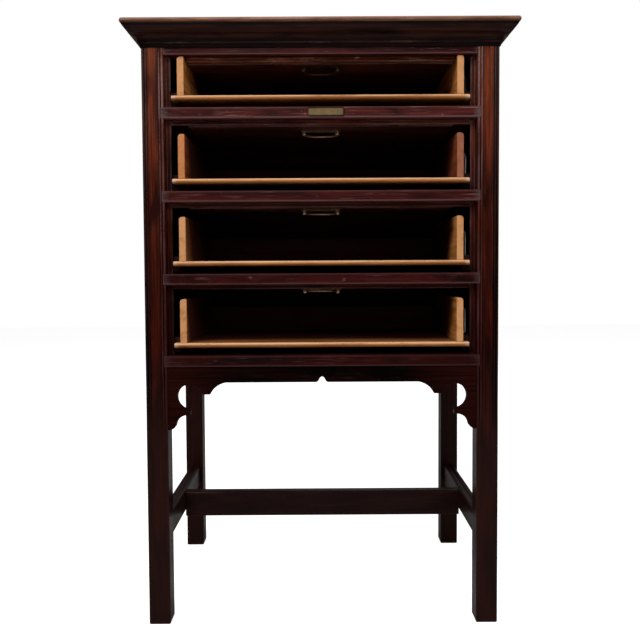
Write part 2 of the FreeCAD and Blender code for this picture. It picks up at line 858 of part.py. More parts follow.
os.makedirs("parts", exist_ok=True)
build_posts()
build_rails()
build_boards()
build_sides()
build_cornice()
build_strips()
build_runners()
build_trays()
build_flaps()
build_apron()
build_stretchers()
build_plaque()
print("opening tops", [round(top, 2) for top in opening_tops()])
print("hinge axis y %.3f, z %s" % (hinge_y, [round(hinge_axis_z(top), 3) for top in opening_tops()]))
flap_lengths = [round(flap_length(number), 2) for number in range(len(opening_heights))]
print("flap half width %.2f, lengths %s" % (flap_half, flap_lengths))
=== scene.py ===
import math

import bpy
import numpy as np
from mathutils import Matrix, Vector


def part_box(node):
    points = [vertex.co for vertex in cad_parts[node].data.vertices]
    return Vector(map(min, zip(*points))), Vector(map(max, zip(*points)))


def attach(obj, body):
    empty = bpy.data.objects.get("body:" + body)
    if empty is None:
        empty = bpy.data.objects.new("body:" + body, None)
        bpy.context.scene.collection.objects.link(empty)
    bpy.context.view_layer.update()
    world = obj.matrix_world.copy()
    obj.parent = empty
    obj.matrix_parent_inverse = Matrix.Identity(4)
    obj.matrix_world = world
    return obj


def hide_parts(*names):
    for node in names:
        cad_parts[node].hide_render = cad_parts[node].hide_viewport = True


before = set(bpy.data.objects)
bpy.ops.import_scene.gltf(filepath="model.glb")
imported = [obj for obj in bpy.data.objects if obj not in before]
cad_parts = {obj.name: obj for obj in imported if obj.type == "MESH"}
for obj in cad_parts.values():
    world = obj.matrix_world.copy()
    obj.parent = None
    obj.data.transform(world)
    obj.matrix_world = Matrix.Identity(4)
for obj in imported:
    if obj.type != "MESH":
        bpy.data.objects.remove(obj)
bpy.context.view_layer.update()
mm = 0.001

shared = {
    "arcSteps": 4,  # segments in a rounded corner
    "arris": 0.8 * mm,  # rounding of an ordinary board's edges
    "guard": 2.2 * mm,  # flat width beside an arris that keeps its shading tight
    "stationStep": 24 * mm,  # distance between rings along a board
    "forward": 0.2,  # a direction below this across share faces the front
    "wearUp": (1.4, 0.15),  # slope and start of rubbed wear and painted highlight toward the upward side of a front edge
    "paintedShadeDown": (-1.3, 0.2),  # slope and start of painted shade toward its underside
    "grainSpread": 3,  # every part's grain starts somewhere within this many metres
    "seed": 7,
}
rng = np.random.default_rng(shared["seed"])
join = np.concatenate


# Shapes: every piece is a profile carried along a line, stored as rings of points

def pieceBox(node):
    return [np.array(corner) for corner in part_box(node)]


def grid(*columns):
    # Coordinates of one or more dimensions, spread over each other and put side by side
    return np.stack(np.broadcast_arrays(*columns), axis=-1)


def unit(vectors):
    return vectors / np.linalg.norm(vectors, axis=1)[:, None]


def squareTo(ahead):
    # Outward from an outline that is walked with its inside on the left
    return unit(grid(ahead[:, 1], -ahead[:, 0]))


def outwardFrom(outline):
    # Outward direction at each point, square to the line between its two neighbours
    return squareTo(np.roll(outline, -1, axis=0) - np.roll(outline, 1, axis=0))


def newObject(name, data):
    made = bpy.data.objects.new(name, data)
    bpy.context.scene.collection.objects.link(made)
    return made


def grainStart():
    return rng.uniform(0, shared["grainSpread"], 3)


def roundedRectangle(width, height, radii, guard=shared["guard"], steps=shared["arcSteps"]):
    # Swaps each corner for an arc that touches both its edges.
    # Returns points, outward directions and an arris mask that is 1 on arcs and 0 on flats.
    corners = np.array([(0, 0), (width, 0), (width, height), (0, height)], float)
    toNext = np.roll(corners, -1, axis=0) - corners
    units, normals, lengths = unit(toNext), squareTo(toNext), np.linalg.norm(toNext, axis=1)
    # Each flat keeps a guard ring beside its arcs, but no more than 0.4 of the flat
    rooms = np.minimum(guard, 0.4 * (lengths - radii - np.roll(radii, -1)))
    share = np.linspace(0, 1, steps + 1)[:, None]
    points, directions = [], []
    for i, (here, radius) in enumerate(zip(corners, radii)):
        before, after = units[i - 1], units[i]
        sweep = unit(normals[i - 1] * (1 - share) + normals[i] * share)
        points += [here - before * (radius + rooms[i - 1]), *(here + radius * (after - before + sweep)),
                   here + after * (radius + rooms[i])]
        directions += [normals[i - 1], *sweep, normals[i]]
    mask = np.array(([0] + [1] * (steps + 1) + [0]) * len(corners), float)
    return np.array(points), np.array(directions), mask


def endStations(length, arris):
    # Distances along a piece with the inset of the profile there: a quarter circle at each end
    guard = shared["guard"]
    place = np.sort(arris * (1 - np.sin(np.linspace(0, math.pi / 2, shared["arcSteps"] + 1))))
    inset = arris * (1 - np.sqrt(np.clip(1 - (1 - place / arris) ** 2, 0, 1)))
    inner = max(int(round((length - 2 * (arris + guard)) / shared["stationStep"])), 1)
    middle = np.linspace(arris + guard, length - arris - guard, inner + 1)
    distance = join([place, middle, length - place[::-1]])
    insets = join([inset, np.zeros(len(middle)), inset[::-1]])
    mask = join([np.ones(len(place)), np.zeros(len(middle)), np.ones(len(place))])
    return distance, insets, mask


def carried(points, directions, mask, low, length, along, endArris):
    # Position = start + axis * distance + across * u + up * v, with (u, v) drawn in by the end inset
    distance, inset, endMask = endStations(length, endArris)
    flat = points - inset[:, None, None] * directions
    axis, across, up = axes[along]
    place = low + distance[:, None, None] * axis + flat[:, :, :1] * across + flat[:, :, 1:] * up
    wear = np.maximum(mask, endMask[:, None])
    return ringPart(place, wear, grid(distance[:, None], flat[:, :, 0], flat[:, :, 1]))


def ringPart(place, wear, grain, grime=0.0):
    # Quads between neighbouring rings, and one flat face over each end
    rows, columns = place.shape[:2]
    index = np.arange(rows * columns).reshape(rows, columns)
    following = np.roll(index, -1, axis=1)
    quads = np.stack([index[:-1], following[:-1], following[1:], index[1:]], axis=-1).reshape(-1, 4).tolist()
    wear, grime = (np.broadcast_to(value, (rows, columns)).reshape(-1) for value in (wear, grime))
    return {"points": place.reshape(-1, 3), "faces": quads + [index[0, ::-1].tolist(), index[-1].tolist()],
            "wear": wear, "grime": grime, "grain": grain.reshape(-1, 3) + grainStart()}


# Axis, across and up for each way of carrying a profile
axes = {key: np.array(rows, float) for key, rows in {
    "x": ((1, 0, 0), (0, 1, 0), (0, 0, 1)),
    "y": ((0, 1, 0), (0, 0, 1), (1, 0, 0)),
    "z": ((0, 0, 1), (1, 0, 0), (0, 1, 0)),
    "forward": ((0, -1, 0), (1, 0, 0), (0, 0, 1)),
    "backward": ((0, 1, 0), (1, 0, 0), (0, 0, 1)),
}.items()}


def board(low, high, along, arris=shared["arris"], radii=None, endArris=None, wear=1.0, lower=None):
    # A box whose cross-section is a rectangle with rounded corners
    low = np.asarray(low, float)
    size = np.asarray(high, float) - low
    axis, across, up = axes[along]
    points, directions, mask = roundedRectangle(size @ across, size @ up, radii or [arris] * 4)
    part = carried(points, directions, mask * wear, low, size @ axis, along, endArris or arris)
    if lower is not None:
        # Rubbed and painted lighter on the upward side of the front edge (painted highlight), painted darker
        # on its underside (painted shade)
        rings = len(part["points"]) // len(points)
        front = np.tile(directions[:, 0] < shared["forward"], rings)
        facing = np.tile(directions[:, 1], rings) * front
        (wearSlope, wearStart), (shadeSlope, shadeStart) = shared["wearUp"], shared["paintedShadeDown"]
        part["wear"] = part["wear"] * np.clip(facing * wearSlope + wearStart, 0, 1)
        part["grime"] = np.where(front, np.clip(shadeStart + shadeSlope * facing, 0, 1) * lower, 0)
    return part


def mirroredPart(part):
    # Left-hand twin: x changes sign and each face is walked the other way
    return dict(part, points=part["points"] * (-1, 1, 1),
                faces=[face[::-1] for face in part["faces"]], grain=part["grain"] + grainStart())


def makePiece(node, parts, look="mahogany", body="root", slot="mahogany", name=None):
    # One mesh from the parts, with wear, painted shade and dirt, depth below the top and grain as
    # attributes.
    # It replaces the node, and bears the node's name in camel case unless it has one of its own.
    first, *rest = node.split("_")
    name = name or first + "".join(word.title() for word in rest)
    points, wear, grime, grain = (
        join([part[key] for part in parts]) for key in ("points", "wear", "grime", "grain"))
    faces, start = [], 0
    for part in parts:
        faces.extend([i + start for i in face] for face in part["faces"])
        start += len(part["points"])
    mesh = bpy.data.meshes.new(name)
    mesh.from_pydata(points.tolist(), [], faces)
    # A part's quads are shaded smooth, and its ends are flat
    mesh.polygons.foreach_set("use_smooth", [len(face) == 4 for face in faces])
    values = {"wear": wear, "grime": grime, "below": points[:, 2].max() - points[:, 2]}
    for key, value in values.items():
        mesh.attributes.new(key, "FLOAT", "POINT").data.foreach_set("value", value.astype(np.float32))
    mesh.attributes.new("grain", "FLOAT_VECTOR", "POINT").data.foreach_set(
        "vector", grain.astype(np.float32).ravel())
    mesh.update()
    mesh.materials.append(materials[look])
    piece = newObject(name, mesh)
    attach(piece, body)
    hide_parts(node)


def simplePiece(node, along, look, body="root", slot="mahogany", **shape):
    makePiece(node, [board(*pieceBox(node), along, **shape)], look, body, slot)


# Shader nodes, node groups and materials

class Net:
    # A node tree, with short names for the nodes that this scene uses
    def __init__(self, tree):
        self.tree = tree

    def fill(self, node, values):
        # A socket is linked, and anything else becomes the input's own value, an opaque one for a colour
        for key, value in values.items():
            socket = node.inputs[key]
            if isinstance(value, bpy.types.NodeSocket):
                self.tree.links.new(value, socket)
            else:
                socket.default_value = (*value, 1) if socket.type == "RGBA" else value
        return node

    def add(self, kind, values=None, **settings):
        node = self.tree.nodes.new("ShaderNode" + kind)
        for key, value in settings.items():
            setattr(node, key, value)
        return self.fill(node, values or {})

    def maths(self, operation, first, second=0.0, clamp=False):
        return self.add("Math", {0: first, 1: second}, operation=operation, use_clamp=clamp).outputs[0]

    def times(self, first, second, clamp=False):
        return self.maths("MULTIPLY", first, second, clamp)

    def plus(self, first, second, clamp=False):
        return self.maths("ADD", first, second, clamp)

    def minus(self, first, second):
        return self.maths("SUBTRACT", first, second)

    def ramp(self, value, low, high, newLow=0.0, newHigh=1.0):
        # A straight line from (low, newLow) to (high, newHigh), level beyond both
        return self.add("MapRange", {"Value": value, "From Min": low, "From Max": high,
                                     "To Min": newLow, "To Max": newHigh}).outputs["Result"]

    def mix(self, share, first, second):
        # Sockets 0, 6 and 7 are the factor and the two colours, and output 2 is the mixed colour
        return self.add("Mix", {0: share, 6: first, 7: second}, data_type="RGBA").outputs[2]

    def scaled(self, vector, scale):
        return self.add("VectorMath", {0: vector, 1: scale}, operation="MULTIPLY").outputs[0]

    def noise(self, vector, scale, detail, roughness=0.55, distortion=0.0):
        return self.add("TexNoise", {"Vector": vector, "Scale": scale, "Detail": detail,
                                     "Roughness": roughness, "Distortion": distortion}).outputs["Fac"]

    def mask(self, vector, scale, stretch, detail, limits):
        # Noise squeezed along and across the grain, of which only the values between the limits count
        return self.ramp(self.noise(self.scaled(vector, stretch), scale, *detail), *limits)

    def attribute(self, name, output="Fac"):
        return self.add("Attribute", attribute_name=name).outputs[output]

    def place(self):
        return self.add("TexCoord").outputs["Object"]

    def group(self, tree, values):
        return self.add("Group", values, node_tree=tree).outputs


def newGroup(name, inputs, outputs):
    # An input without a default is a vector; every output is a plain value
    tree = bpy.data.node_groups.new(name, "ShaderNodeTree")
    for label, value in inputs.items():
        kind = "NodeSocketVector" if value is None else "NodeSocketFloat"
        socket = tree.interface.new_socket(name=label, in_out="INPUT", socket_type=kind)
        if value is not None:
            socket.default_value = value
    for label in outputs:
        tree.interface.new_socket(name=label, in_out="OUTPUT", socket_type="NodeSocketFloat")
    return Net(tree), tree.nodes.new("NodeGroupInput").outputs, tree.nodes.new("NodeGroupOutput")


# Each mask's stretch along and across the grain, its noise's detail, and its limits
grainRules = {
    "Figure": ((4.2, 26, 26), (3, 0.5, 0.8), (0.36, 0.64)),
    "Streak": ((9, 420, 420), (4, 0.6), (0.36, 0.66)),
    "Pores": ((70, 1500, 1500), (2, 0.5), (0.6, 0.72)),
}
markRules = {
    "line": ((22, 900, 900), (2, 0.4, 0.4), (0.60, 0.72)),
    "where": ((18, 40, 40), (2,), (0.44, 0.62)),
    "bruise": ((60, 150, 150), (4,), (0.66, 0.74)),
    "haze": ((7, 16, 16), (5, 0.65), (0.35, 0.7)),
}
wearRules = {"patch": ((14, 60, 60), 0.7), "speck": ((260, 700, 700), 0.45), "detail": 3,
             "contrast": 4.0, "maskPower": 1.6, "bruiseShare": 0.6}


def makeGrainGroup():
    # Wood grain along the first coordinate: broad figure, fine streaks and short open pores
    net, given, result = newGroup(
        "woodGrain", {"Vector": None, "Figure Scale": 1.0, "Streak Scale": 1.0}, grainRules)
    for label, rule in grainRules.items():
        scale = given["Figure Scale" if label == "Figure" else "Streak Scale"]
        net.fill(result, {label: net.mask(given["Vector"], scale, *rule)})
    return net.tree


def makeWearGroup():
    # Rubbed arrises: the arris mask broken up by noise, more rubbed in patches along the length
    net, given, result = newGroup("rubbedEdges", {"Mask": 0.0, "Vector": None, "Amount": 0.5}, ["Wear"])
    both = []
    for stretch, share in (wearRules["patch"], wearRules["speck"]):
        level = net.noise(net.scaled(given["Vector"], stretch), 1.0, wearRules["detail"])
        both.append(net.times(level, share))
    least = net.minus(1.0, given["Amount"])
    rubbed = net.times(net.minus(net.plus(*both), least), wearRules["contrast"], clamp=True)
    mask = net.maths("POWER", given["Mask"], wearRules["maskPower"])
    net.fill(result, {"Wear": net.times(rubbed, mask, clamp=True)})
    return net.tree


def makeMarksGroup():
    # Old marks: thin pale lines near the length of the board, and a few bruises
    net, given, result = newGroup("oldMarks", {"Vector": None, "Amount": 0.5}, ["Marks", "Haze"])
    line, where, bruise, haze = (net.mask(given["Vector"], 1.0, *rule) for rule in markRules.values())
    bruises = net.times(bruise, wearRules["bruiseShare"])
    marks = net.plus(net.times(line, where), bruises)
    net.fill(result, {"Marks": net.times(marks, given["Amount"], clamp=True), "Haze": haze})
    return net.tree


grainGroup, wearGroup, marksGroup = makeGrainGroup(), makeWearGroup(), makeMarksGroup()


def newMaterial(name, shaderValues):
    material = bpy.data.materials.new(name)
    material.use_nodes = True
    net = Net(material.node_tree)
    return material, net, net.fill(net.tree.nodes["Principled BSDF"], shaderValues)


woodRules = {
    "endBreak": (0.1, 0.8, 0.3, 0.8),  # streaks to share of the colour at a board's ends
    "hazeOnShadeAndDirt": (0, 1, 1.0, 0.75),  # haze to share of the painted shade and dirt
    "stainFrom": (-0.1670, -0.1600),  # y where the painted shade inside a tray may begin
    "stainPower": 0.8,
    "flatBelow": (0.0002, 0.0014),  # depth below the top where its flat face ends
    "riseOver": (0.2, 0.9),  # heights between which the wood is painted lighter upward, as the light falls off downward
    "redder": 1.45,  # wood painted darker is also redder: green and blue fall faster
    "footOver": (0.26, 0.44, 0.62, 0),  # height to share of the colour of the legs
    "streakRelief": 0.4, "depth": 0.0003,
}


def woodMaterial(name, look):
    # Polished wood: three colours mixed by figure and streaks, rubbed edges, marks and a little relief
    material, net, shader = newMaterial(name, {"Specular IOR Level": look["specular"]})
    spot = net.add("SeparateXYZ", {"Vector": net.place()}).outputs
    vector = net.place() if look.get("byPlace") else net.attribute("grain", "Vector")
    grain = net.group(grainGroup, {
        "Vector": vector, "Figure Scale": look["figureScale"], "Streak Scale": look["streakScale"]})
    marks = net.group(marksGroup, {"Vector": vector, "Amount": look["marks"]})
    wear = net.group(wearGroup, {
        "Mask": net.attribute("wear"), "Vector": vector, "Amount": look["wear"]})["Wear"]
    colour = net.mix(grain["Figure"], look["deep"], look["middle"])
    streaks = net.times(net.times(grain["Streak"], look["streakShare"]), grain["Figure"])
    colour = net.mix(streaks, colour, look["bright"])
    colour = net.mix(net.times(grain["Pores"], look["poreShare"]), colour, look["pore"])
    colour = net.mix(marks["Marks"], colour, look["markColour"])
    colour = net.mix(wear, colour, look["wearColour"])
    if "ends" in look:
        share = net.ramp(net.maths("ABSOLUTE", spot["X"]), *look["ends"])
        share = net.times(share, net.ramp(grain["Streak"], *woodRules["endBreak"]))
        colour = net.mix(share, colour, look["endColour"])
    # Darker where the attribute asks: painted shade in hollows, on outer beads and under front edges, and
    # dirt in the quirks
    shadeAndDirtShare = net.times(net.attribute("grime"), net.ramp(marks["Haze"], *woodRules["hazeOnShadeAndDirt"]), clamp=True)
    colour = net.mix(shadeAndDirtShare, colour, look["grimeColour"])
    if "stain" in look:
        # Painted shade inside a tray, behind a slanting line: y - slope * (distance below the top) - shift *
        # (side of x); the shift lets the light reach deeper on one side
        start, stop, slope, shift = look["stain"]
        side = net.times(net.maths("SIGN", spot["X"]), shift)
        reach = net.minus(spot["Y"], net.times(net.attribute("below"), slope))
        share = net.ramp(net.minus(reach, side), start, stop)
        share = net.times(share, net.ramp(spot["Y"], *woodRules["stainFrom"]))
        colour = net.mix(net.maths("POWER", share, woodRules["stainPower"]), colour, look["stainColour"])
    if "flatTop" in look:
        # The upward face is darker than the edge round it
        tint = net.ramp(net.attribute("below"), *woodRules["flatBelow"])
        colour = net.scaled(colour, net.mix(tint, look["flatTop"], (1, 1, 1)))
    if "rise" in look:
        # Painted light: lighter toward the top and darker toward the bottom, as the light falls off downward
        lowLevel, highLevel, steep = look["rise"]
        level = net.maths("POWER", net.ramp(spot["Z"], *woodRules["riseOver"]), steep)
        level = net.ramp(level, 0, 1, lowLevel, highLevel)
        less = net.maths("POWER", level, woodRules["redder"])
        colour = net.scaled(colour, net.add("CombineXYZ", {"X": level, "Y": less, "Z": less}).outputs[0])
    if "foot" in look:
        # The legs are browner and plainer than the posts above them
        colour = net.mix(net.ramp(spot["Z"], *woodRules["footOver"]), colour, look["foot"])
    rough = net.ramp(marks["Haze"], 0, 1, *look["rough"])
    rough = net.plus(rough, net.times(wear, look["wearRough"]), clamp=True)
    height = net.minus(net.times(grain["Streak"], woodRules["streakRelief"]), grain["Pores"])
    height = net.minus(height, marks["Marks"])
    bump = net.add("Bump", {"Strength": look["relief"], "Distance": woodRules["depth"], "Height": height})
    net.fill(shader, {"Base Color": colour, "Roughness": rough, "Normal": bump.outputs["Normal"]})
    return material


metalRules = {
    "patchDetail": (5, 0.65), "patchRange": (0.35, 0.68), "speckRange": (0.3, 0.6), "speckDetail": 3,
    "rimRange": (0.0006, 0.0020, 0.85, 0), "rimShadeColour": (0.012, 0.008, 0.005),
    "relief": 0.25, "depth": 0.0002,
}


def metalMaterial(name, look):
    # Tarnished metal: clean and dark patches, bright where rubbed
    material, net, shader = newMaterial(name, {"Metallic": look["metallic"]})
    vector = net.place()
    patches = net.ramp(net.noise(vector, look["patchScale"], *metalRules["patchDetail"]),
                       *metalRules["patchRange"])
    specks = net.noise(vector, look["speckScale"], metalRules["speckDetail"])
    rubbed = net.times(net.attribute("wear"), net.ramp(specks, *metalRules["speckRange"]), clamp=True)
    colour = net.mix(patches, look["clean"], look["tarnish"])
    colour = net.mix(rubbed, colour, look["bright"])
    if "rim" in look:
        # Dark line round the plate, by the distance to its nearest edge: painted shadow along its edge, and
        # dirt
        low, high = look["rim"]
        spot = net.add("SeparateXYZ", {"Vector": vector}).outputs
        gaps = []
        for key, axis in (("X", 0), ("Z", 2)):
            middle, half = float(low[axis] + high[axis]) / 2, float(high[axis] - low[axis]) / 2
            gaps.append(net.minus(half, net.maths("ABSOLUTE", net.minus(spot[key], middle))))
        share = net.ramp(net.maths("MINIMUM", *gaps), *metalRules["rimRange"])
        colour = net.mix(share, colour, metalRules["rimShadeColour"])
    bump = net.add("Bump", {
        "Strength": metalRules["relief"], "Distance": metalRules["depth"], "Height": specks})
    net.fill(shader, {"Base Color": colour, "Normal": bump.outputs["Normal"],
                      "Roughness": net.ramp(patches, 0, 1, *look["rough"])})
    return material


mahoganyLook = {
    "deep": (0.022, 0.0031, 0.0014), "middle": (0.043, 0.0058, 0.0025), "bright": (0.146, 0.025, 0.008),
    "pore": (0.006, 0.002, 0.0015), "markColour": (0.13, 0.075, 0.07),
    "wearColour": (0.135, 0.066, 0.062), "grimeColour": (0.0035, 0.0016, 0.0014),
    "figureScale": 2.0, "streakScale": 0.7, "streakShare": 0.95, "poreShare": 0.5,
    "marks": 0.35, "wear": 0.56, "wearRough": 0.12, "rough": (0.26, 0.42), "relief": 0.35,
    "rise": (0.33, 1.75, 3.0), "foot": (0.0135, 0.0056, 0.0044), "specular": 0.06,
}
woodLooks = {
    "mahogany": mahoganyLook,
    "panelWood": dict(
        mahoganyLook, deep=(0.017, 0.0036, 0.0026), bright=(0.11, 0.023, 0.009), figureScale=0.9,
        streakScale=1.2, streakShare=0.7),
    "mahoganyMarked": dict(
        mahoganyLook, deep=(0.016, 0.0029, 0.0031), middle=(0.046, 0.0062, 0.006),
        bright=(0.12, 0.022, 0.015), streakShare=0.6, marks=1.6, markColour=(0.17, 0.085, 0.075),
        wear=0.72, wearColour=(0.14, 0.064, 0.06), ends=(0.238, 0.25), endColour=(0.105, 0.08, 0.08),
        rise=(0.2, 1.15, 1.3), rough=(0.34, 0.5)),
    "mahoganyPlain": dict(
        mahoganyLook, deep=(0.0095, 0.0034, 0.0028), middle=(0.02, 0.0062, 0.0045),
        bright=(0.045, 0.013, 0.008), marks=0.2, wear=0.4, rise=(0.8, 1.0, 1),
        foot=(0.011, 0.0042, 0.0034)),
    "mahoganyEdge": dict(
        mahoganyLook, deep=(0.085, 0.034, 0.022), middle=(0.17, 0.078, 0.05),
        bright=(0.36, 0.19, 0.12), marks=1.2, markColour=(0.42, 0.28, 0.2), wear=0.7,
        wearColour=(0.38, 0.21, 0.15), grimeColour=(0.04, 0.01, 0.0035), rise=(1, 1, 1),
        flatTop=(0.32, 0.17, 0.14)),
    # Painted shade: a nearly black copy of the mahogany for the apron, set back in deep shade
    "mahoganyPaintedShade": dict(
        mahoganyLook, deep=(0.001, 0.0004, 0.0004), middle=(0.0028, 0.0006, 0.0005),
        bright=(0.007, 0.0016, 0.0011), marks=0.08, wear=0.3, wearColour=(0.025, 0.011, 0.008),
        ends=(0.13, 0.23), endColour=(0.03, 0.0048, 0.0026), rise=(1, 1, 1),
        foot=(0.0028, 0.0006, 0.0005), specular=0.015),
    "wornStrip": dict(
        mahoganyLook, wearColour=(0.27, 0.086, 0.048), marks=1.2, markColour=(0.46, 0.29, 0.18),
        rise=(1, 1.3, 1)),
    "flapWood": dict(
        mahoganyLook, deep=(0.016, 0.004, 0.003), middle=(0.05, 0.013, 0.009),
        bright=(0.09, 0.026, 0.015), rise=(0.8, 1, 1)),
    "innerWood": dict(
        mahoganyLook, deep=(0.03, 0.011, 0.007), middle=(0.048, 0.017, 0.01),
        bright=(0.07, 0.026, 0.016), figureScale=0.9, byPlace=True, rough=(0.55, 0.7),
        wear=0.2, marks=0.2, rise=(1, 1, 1)),
}
# Painted light: a lighter copy of the inner wood for the boards over the trays, whose undersides lie in
# shade
woodLooks["innerWoodPaintedLight"] = dict(
    woodLooks["innerWood"], deep=(0.1, 0.022, 0.015), middle=(0.15, 0.036, 0.024),
    bright=(0.19, 0.05, 0.032))
woodLooks["friezeWood"] = dict(woodLooks["mahoganyMarked"], rise=(0.72, 0.72, 1))
trayLook = {
    "deep": (0.24, 0.072, 0.015), "middle": (0.36, 0.125, 0.031), "bright": (0.54, 0.235, 0.078),
    "pore": (0.1, 0.03, 0.009), "markColour": (0.14, 0.05, 0.02), "wearColour": (0.78, 0.46, 0.25),
    "grimeColour": (0.1, 0.032, 0.007),
    "figureScale": 1.0, "streakScale": 0.5, "streakShare": 0.9, "poreShare": 0.8,
    "marks": 0.5, "wear": 0.66, "wearRough": 0.05, "rough": (0.38, 0.52), "relief": 0.4,
    "stainColour": (0.045, 0.011, 0.007), "ends": (0.2265, 0.2335), "endColour": (0.72, 0.5, 0.38),
    "specular": 0.08,
}
# Painted shade inside the trays: start and end of its fade, slope with depth below the top, shift by side
woodLooks["topTrayFloor"] = dict(trayLook, stain=(-0.12, -0.04, 0, 0))
woodLooks["trayFloor"] = dict(trayLook, stain=(-0.165, -0.095, 0, 0))
woodLooks["trayBack"] = dict(
    trayLook, deep=(0.045, 0.009, 0.006), middle=(0.07, 0.014, 0.009), bright=(0.09, 0.02, 0.012),
    marks=0.2, wearColour=(0.07, 0.016, 0.01))
sideLook = dict(
    trayLook, deep=(0.26, 0.08, 0.014), middle=(0.42, 0.155, 0.036), bright=(0.62, 0.28, 0.09),
    figureScale=2.5, marks=0.9, wearColour=(0.58, 0.28, 0.12), grimeColour=(0.2, 0.07, 0.02))
woodLooks["topTraySide"] = dict(sideLook, stain=(-0.058, -0.028, 2.5, 0.045))
woodLooks["traySide"] = dict(sideLook, stain=(-0.18, -0.1, 0.5, 0.03))
woodLooks["lowTraySide"] = dict(sideLook, stain=(-0.1735, -0.1335, 0.5, 0.03))
woodLooks["warmTraySide"] = dict(
    woodLooks["traySide"], deep=(0.25, 0.056, 0.01), middle=(0.39, 0.1, 0.018),
    bright=(0.56, 0.18, 0.04), wearColour=(0.5, 0.19, 0.07))
woodLooks["redTraySide"] = dict(
    woodLooks["traySide"], deep=(0.13, 0.026, 0.009), middle=(0.19, 0.044, 0.016),
    bright=(0.28, 0.08, 0.035), wearColour=(0.3, 0.11, 0.06))
brassLook = {
    "clean": (0.42, 0.255, 0.135), "tarnish": (0.17, 0.1, 0.058), "bright": (0.85, 0.6, 0.38),
    "patchScale": 90, "speckScale": 700, "rough": (0.28, 0.5), "metallic": 0.9,
}
metalLooks = {
    "agedBrass": brassLook,
    # Painted shade: the hinges are painted nearly black, for the shade of the gap they sit in
    "hingeBrassPaintedShade": dict(
        brassLook, clean=(0.045, 0.028, 0.013), tarnish=(0.018, 0.012, 0.008),
        bright=(0.1, 0.065, 0.03), rough=(0.45, 0.6), metallic=0.6),
    "plateBrass": dict(
        brassLook, clean=(0.135, 0.084, 0.028), tarnish=(0.022, 0.014, 0.007),
        bright=(0.18, 0.12, 0.055), patchScale=120, speckScale=900, rough=(0.38, 0.6),
        rim=pieceBox("maker_plate"), metallic=0.75),
    # Painted shade: a darker copy of the brass for the handle in deep shade
    "shadedBrass": dict(
        brassLook, clean=(0.06, 0.036, 0.014), tarnish=(0.02, 0.012, 0.006),
        bright=(0.16, 0.1, 0.045), rough=(0.4, 0.6), metallic=0.8),
    # Painted light: the stays are near white and barely metallic, so they show as a bright line though they
    # sit in shade
    "stayMetal": dict(
        brassLook, clean=(0.92, 0.88, 0.82), tarnish=(0.6, 0.55, 0.48), bright=(0.9, 0.88, 0.82),
        patchScale=60, speckScale=500, rough=(0.3, 0.5), metallic=0.1),
}
materials = {name: woodMaterial(name, look) for name, look in woodLooks.items()}
materials.update({name: metalMaterial(name, look) for name, look in metalLooks.items()})
print("stage: materials", len(materials))

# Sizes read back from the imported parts
postLow, postHigh = pieceBox("front_post_right")
rearLow, rearHigh = pieceBox("rear_post_right")
frontY, backY = postLow[1], rearHigh[1]
innerX, outerX = postLow[0], postHigh[0]
numbers = (1, 2, 3, 4)


# Carcase

postLook = {
    "bead": 4.4 * mm, "beadDepth": 2.1 * mm, "beadSteps": 10, "flatGap": 0.3 * mm, "flatSteps": 8,
    "arris": 1.3 * mm, "turnSteps": 4, "sideSteps": 6, "sideStart": 0.12, "backSteps": 4, "backStart": 3,
    # Upward: rounded foot, plain leg, runout of the beads, beaded length, head
    "foot": 2.6 * mm, "footShare": 0.8, "footRings": (0, 0.3, 1), "footTop": 8 * mm, "footWorn": 1.5,
    "legStart": 30 * mm, "legRings": 12, "stop": 0.300, "runout": 0.045, "runoutRings": 9,
    "upperStart": 0.37, "upperRings": 24, "upperGap": 6 * mm, "headGap": 1 * mm, "cornerReach": 1.5,
    "rubbed": 1.6 * mm, "crest": 0.35 * mm, "crestWearAndSheen": 0.95, "backWear": 0.8,
    "quirkShadeAndDirt": (1.5, -0.35), "outerBeadShade": 0.85,
}


def quarterRound(distance, radius):
    # How far a quarter circle draws a face in, by the distance from the edge
    return np.where(distance < radius,
                    radius - np.sqrt(np.clip(radius ** 2 - (radius - distance) ** 2, 0, None)), 0)


